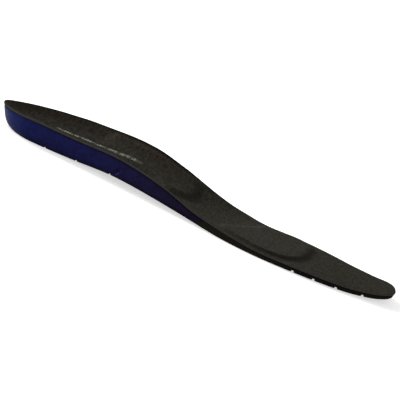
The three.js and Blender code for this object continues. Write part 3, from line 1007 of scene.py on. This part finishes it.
def make_cover():
    """The cover: its top over the pads, its rounded cut edge and its hidden underside."""
    sizes = bpy.context.scene.insole_sizes
    bend = sizes.cover_round
    top, stretch, depth = top_surface(RIBS.shares(bend, COVER_RINGS))
    edge_thickness = cover_thickness_at(RIBS.edge[:, 0]) * stretch[0]

    def edge_ring(inward, down, from_bottom):
        ring = top_surface(np.full(RIBS.count, inward * bend) / RIBS.length)[0]
        ring[:, 2] += down * bend - edge_thickness if from_bottom else -down * bend
        return ring

    upper = [edge_ring(inward, down, False) for inward, down in EDGE_PROFILE]
    lower = [edge_ring(inward, down, True) for inward, down in reversed(EDGE_PROFILE)]
    under = below_top(cover_thickness_at, RIBS.shares(bend, HIDDEN_RINGS))
    rings = [*from_middle(top), *upper, *lower, *under[:-1], slit(under[-1])]
    cover = ring_piece("fabric_cover", rings)

    # Where each point lay in the flat cut: as far along its rib as the cloth is long there
    steps = np.linalg.norm(np.diff(top[::-1], axis=0), axis=2)
    reach = np.concatenate([np.zeros((1, RIBS.count)), np.cumsum(steps, axis=0)])
    flat = RIBS.centre - RIBS.inward * reach[..., None]
    edge_rings = len(upper) + len(lower)
    outer = np.repeat(flat[-1:], edge_rings, axis=0)
    hidden = np.repeat(flat[-1:], len(under) - 1, axis=0)
    lay = np.concatenate([slit(flat[0]), *flat[1:], *outer, *hidden, slit(RIBS.centre)])
    add_attribute(cover, "lay", "FLOAT_VECTOR", np.column_stack([lay, np.zeros(len(lay))]))

    def over_top(values, edge, below):
        """A number for every point, from the top's rings and one value for each part below."""
        edge_parts = [np.zeros(RIBS.count) + value for value in edge]
        hidden_parts = [np.full(RIBS.count, below)] * (len(under) - 1)
        last = np.full(RIBS.half + 1, below)
        return np.concatenate([*from_middle(values), *edge_parts, *hidden_parts, last])

    # Painted shade and painted light at the pads' borders, the darker rolled rim, and the medial wall's
    # browner tone with its painted shade
    uphill = np.maximum(*pad_depths(top[..., :2] + PAD_SHADE * MM)) - depth
    facing = np.clip(uphill / (MM / sizes.ball_pad_edge), *PAD_SHADING_LIMITS)
    painted_shading = np.exp(-(((depth - PAD_SHADING_MIDDLE) / PAD_SHADING_WIDTH) ** 2)) * facing
    inner = smoothstep(np.arange(len(depth)), *PAD_SHADING_RINGS)[:, None]
    x, from_edge = top[..., 0], RIBS.shares(bend, COVER_RINGS) * RIBS.length
    # Mask of the medial wall's browner tone and painted shade
    wall_end = lerp(*WALL_TONE_ENDS, smoothstep(x, *WALL_TONE_TURN))
    wall = 1 - smoothstep(from_edge - wall_end, *WALL_TONE_BORDER)
    wall = wall * medial_share(RIBS.edge[:, 1] + WALL_TONE_SHIFT)
    wall = wall * (1 - smoothstep(x, *WALL_TONE_FADE))
    rolled = RIM_DARK * medial_share(RIBS.edge[:, 1])
    painted_shading = painted_shading * inner + rolled * (1 - smoothstep(from_edge, *RIM_FADE))
    add_attribute(cover, "cut", "FLOAT", over_top(np.zeros(depth.shape), EDGE_TONES, 1))
    add_attribute(cover, "painted_shading", "FLOAT", over_top(painted_shading, [rolled] * edge_rings, 0))
    add_attribute(cover, "wall", "FLOAT", over_top(wall, [0] * edge_rings, 0))

    # Size and area of the flat cut
    flat_size = np.ptp(flat.reshape(-1, 2), axis=0)
    outline = flat[-1]
    ahead = np.roll(outline, -1, axis=0)
    area = abs((outline[:, 0] * ahead[:, 1] - outline[:, 1] * ahead[:, 0]).sum()) / 2

    # The top swells over the pads
    sheet_rings = from_middle(top)
    sheet_points = np.concatenate(sheet_rings)
    loose = np.concatenate(from_middle(smoothstep(depth, *PAD_LOOSE)))
    moved = swell(sheet_points, ring_faces(sheet_rings), loose, sizes.pad_swell, sizes.swell_frames)
    points = np.zeros(3 * len(cover.data.vertices), np.float32)
    cover.data.vertices.foreach_get("co", points)
    points = points.reshape(-1, 3)
    points[: len(moved)] += moved
    cover.data.vertices.foreach_set("co", points.ravel())
    cover.data.update()
    cover.modifiers.new("smooth", "SUBSURF").levels = 1
    cover.modifiers["smooth"].render_levels = 1
    apply_modifiers(cover)
    cover.data.shade_smooth()
    return cover, (float(flat_size[1]), float(flat_size[0])), float(area)


def wall_rings(edge_ring):
    """Rings of the outer wall below an edge ring, and of a flat bottom below the underside."""
    rings = []
    for down in np.linspace(0, WALL_PROFILE[-1][0], WALL_RINGS)[1:]:
        inward = along(WALL_PROFILE, 1, np.array([down]))
        share = inward * RIBS.slope / RIBS.length
        plan = lerp(edge_ring[:, :2], RIBS.centre, share[:, None])
        z = lerp(edge_ring[:, 2], underside_at(plan[:, 0]), down)
        rings.append(np.column_stack([plan, z]))
    foot = rings[-1].copy()
    foot[:, 2] = -TRIM
    middle = np.column_stack([RIBS.centre, np.full(RIBS.count, -TRIM)])
    return [*rings, foot, slit(middle)]


def underside_block():
    """A block above the underside's line, with the grooves that cross it."""
    line = []
    ends = [-TRIM]
    for at, width, _ in GROOVES:
        ends += [at * LENGTH - width / 2, at * LENGTH + width / 2]
    ends.append(LENGTH + TRIM)
    for k in range(0, len(ends), 2):
        start, stop = ends[k], ends[k + 1]
        x = np.linspace(start, stop, max(3, int((stop - start) / UNDERSIDE_STEP)))
        line += list(np.column_stack([x, underside_at(x)]))
        if k // 2 < len(GROOVES):
            at, width, depth = GROOVES[k // 2]
            middle = at * LENGTH
            base = underside_at(np.array([middle]))[0]
            for across, up in GROOVE_PROFILE:
                line.append((middle + across * width, base + up * depth))
    top = MEDIAL_WALL + HEEL_THICKNESS + ARCH_LIFT + TRIM
    outline = [*line, (LENGTH + TRIM, top), (-TRIM, top)]
    return prism("underside", outline, -BALL_WIDTH, BALL_WIDTH, upright=False)


def behind_front(gap):
    """A block behind the heel cup's leaning front edge, grown forwards by a gap."""
    front = open_curve([(at * LENGTH + gap, side * WAIST_WIDTH) for at, side in CUP_FRONT], FRONT_POINTS)
    tall = MEDIAL_WALL + HEEL_THICKNESS + ARCH_LIFT + 2 * TRIM
    back = -TRIM - FRONT_LEAN * tall
    outline = [(back, front[0][1]), *front, (back, front[-1][1])]
    block = prism("front", outline, -tall, tall, upright=True)
    block.data.transform(Matrix(((1, 0, FRONT_LEAN, 0), (0, 1, 0, 0), (0, 0, 1, 0), (0, 0, 0, 1))))
    return block


def make_foam(name):
    """Everything under the cover, as one solid."""

    def depth(x):
        return cover_thickness_at(x) + FIT_GAP

    overhang = overhang_at(RIBS.edge[:, 0])
    top = below_top(depth, RIBS.shares(overhang + FOAM_ROUND, 2 * HIDDEN_RINGS))
    shoulder = below_top(depth, (overhang + FOAM_SHOULDER * FOAM_ROUND) / RIBS.length)
    shoulder[:, 2] -= FOAM_SHOULDER * FOAM_ROUND
    edge = below_top(depth, overhang / RIBS.length)
    edge[:, 2] -= FOAM_ROUND
    foam = ring_piece(name, [*from_middle(top), shoulder, edge, *wall_rings(edge)])
    cut(foam, underside_block(), "INTERSECT")
    return foam


def weld(piece):
    """Joins points that a cut left on each other."""
    work = bmesh.new()
    work.from_mesh(piece.data)
    bmesh.ops.remove_doubles(work, verts=work.verts, dist=WELD_DISTANCE)
    bmesh.ops.dissolve_degenerate(work, edges=work.edges, dist=WELD_DISTANCE)
    work.to_mesh(piece.data)
    work.free()


def measure_wall(foam):
    """Gives each point its height above the underside and below the cover's rim, in millimetres."""
    points = np.zeros(3 * len(foam.data.vertices), np.float32)
    foam.data.vertices.foreach_get("co", points)
    points = points.reshape(-1, 3) + [*RIBS.origin, 0]
    nearest = np.linalg.norm(points[:, None, :2] - RIBS.edge, axis=2).argmin(1)
    add_attribute(foam, "above_base", "FLOAT", (points[:, 2] - underside_at(points[:, 0])) / MM)
    add_attribute(foam, "below_rim", "FLOAT", (RIBS.rim[nearest] - points[:, 2]) / MM)


def scoop_block():
    """The egg-shaped block that cuts the scoop into the lateral wall."""
    bpy.ops.mesh.primitive_uv_sphere_add(segments=32, ring_count=16, radius=1)
    block = bpy.context.object
    turn = Matrix.Rotation(-SCOOP_SLANT, 3, "Y").to_quaternion()
    block.data.transform(Matrix.LocRotScale(SCOOP_PLACE, turn, SCOOP_SIZE))
    return block


class INSOLE_OT_cover(bpy.types.Operator):
    """Make the fabric cover, swollen over its two pads"""

    bl_idname = "insole.cover"
    bl_label = "Fabric cover"

    def execute(self, context):
        cover, flat, area = make_cover()
        dress(cover, knit_finish(), "top_cover")
        return {"FINISHED"}


class INSOLE_OT_heel_foam(bpy.types.Operator):
    """Make the navy heel cup under the cover's rear half"""

    bl_idname = "insole.heel_foam"
    bl_label = "Heel cup foam"

    def execute(self, context):
        foam = make_foam("heel_cup_foam")
        cut(foam, behind_front(0), "INTERSECT")
        cut(foam, scoop_block(), "DIFFERENCE")
        weld(foam)
        smooth_shade(foam)
        measure_wall(foam)
        dress(foam, heel_foam_finish(), "heel_cup")
        return {"FINISHED"}


class INSOLE_OT_forefoot_foam(bpy.types.Operator):
    """Make the black grooved foam under the cover's front half"""

    bl_idname = "insole.forefoot_foam"
    bl_label = "Forefoot foam"

    def execute(self, context):
        foam = make_foam("forefoot_foam")
        cut(foam, behind_front(FIT_GAP), "DIFFERENCE")
        weld(foam)
        smooth_shade(foam)
        dress(foam, forefoot_foam_finish(), "foam_base")
        return {"FINISHED"}


class INSOLE_OT_studio(bpy.types.Operator):
    """Make the pale floor, the sky, the soft light and the camera"""

    bl_idname = "insole.studio"
    bl_label = "Studio"

    def execute(self, context):
        make_floor()
        make_lights()
        make_camera()
        return {"FINISHED"}


class INSOLE_PT_sidebar(bpy.types.Panel):
    """Sizes, colours and pieces of the insole"""

    bl_idname = "INSOLE_PT_sidebar"
    bl_label = "Cupped insole"
    bl_space_type = "VIEW_3D"
    bl_region_type = "UI"
    bl_category = "Insole"

    def draw(self, context):
        for group in (context.scene.insole_sizes, context.scene.insole_colours):
            box = self.layout.box()
            for name in group.__annotations__:
                box.prop(group, name)
        for operator in OPERATORS:
            self.layout.operator(operator.bl_idname)


def make_floor():
    """A wide floor that curves up into a low wall all round, far from the insole."""
    rows = [(radius, 0) for radius in FLOOR_RADII]
    for angle in np.linspace(0, math.pi / 2, FLOOR_STEPS)[1:]:
        out, up = math.sin(angle), 1 - math.cos(angle)
        rows.append((FLOOR_RADII[-1] + FLOOR_BEND * out, FLOOR_BEND * up))
    around = np.linspace(0, TURN, FLOOR_SIDES, endpoint=False)
    points = [(r * math.cos(a), r * math.sin(a), z) for r, z in rows for a in around]
    faces = [tuple(range(FLOOR_SIDES))]
    for j in range(len(rows) - 1):
        for k in range(FLOOR_SIDES):
            near, next_side = j * FLOOR_SIDES, (k + 1) % FLOOR_SIDES
            far = near + FLOOR_SIDES
            faces.append((near + k, near + next_side, far + next_side, far + k))
    mesh = bpy.data.meshes.new("floor")
    mesh.from_pydata(points, [], faces)
    floor = bpy.data.objects.new("floor", mesh)
    bpy.context.scene.collection.objects.link(floor)
    face_outwards(floor)
    mesh.shade_smooth()
    mesh.materials.append(floor_finish())


def make_lights():
    """An even white sky and one large soft light above and behind the heel, on the medial side."""
    world = bpy.data.worlds.new("sky")
    world.use_nodes = True
    sky = world.node_tree.nodes["Background"].inputs
    sky["Color"].default_value = (1, 1, 1, 1)
    sky["Strength"].default_value = SKY_STRENGTH
    bpy.context.scene.world = world
    data = bpy.data.lights.new("key", "AREA")
    data.shape = "DISK"
    data.size = KEY_SIZE
    data.energy = KEY_POWER
    lamp = bpy.data.objects.new("key", data)
    lamp.location = KEY_PLACE
    lamp.rotation_euler = (-KEY_PLACE).to_track_quat("-Z", "Y").to_euler()
    bpy.context.scene.collection.objects.link(lamp)


def make_camera():
    """A camera low over the lateral side, rolled as the view is."""
    azimuth, elevation, roll = (math.radians(a) for a in CAMERA_ANGLES)
    back = Vector(
        (
            math.sin(azimuth) * math.cos(elevation),
            -math.cos(azimuth) * math.cos(elevation),
            math.sin(elevation),
        )
    )
    level = Vector((0, 0, 1)).cross(back).normalized()
    up = back.cross(level)
    right = math.cos(roll) * level + math.sin(roll) * up
    above = math.cos(roll) * up - math.sin(roll) * level
    data = bpy.data.cameras.new("camera")
    data.sensor_width = CAMERA_SENSOR
    data.lens = CAMERA_LENS
    data.clip_start = CAMERA_NEAR
    camera = bpy.data.objects.new("camera", data)
    turn = Matrix((right, above, back)).transposed()
    camera.matrix_world = Matrix.Translation(CAMERA_TARGET + back * CAMERA_DISTANCE) @ turn.to_4x4()
    bpy.context.scene.collection.objects.link(camera)
    bpy.context.scene.camera = camera
    bpy.context.scene.view_settings.view_transform = "Standard"


OPERATORS = (
    INSOLE_OT_studio,
    INSOLE_OT_cover,
    INSOLE_OT_heel_foam,
    INSOLE_OT_forefoot_foam,
)
CLASSES = (InsoleSizes, InsoleColours, *OPERATORS, INSOLE_PT_sidebar)


def register():
    for kind in CLASSES:
        bpy.utils.register_class(kind)
    bpy.types.Scene.insole_sizes = PointerProperty(type=InsoleSizes)
    bpy.types.Scene.insole_colours = PointerProperty(type=InsoleColours)


def unregister():
    del bpy.types.Scene.insole_colours
    del bpy.types.Scene.insole_sizes
    for kind in reversed(CLASSES):
        bpy.utils.unregister_class(kind)


def main():
    register()
    bpy.ops.insole.studio()
    bpy.ops.insole.cover()
    bpy.ops.insole.heel_foam()
    bpy.ops.insole.forefoot_foam()


if __name__ == "__main__":
    main()
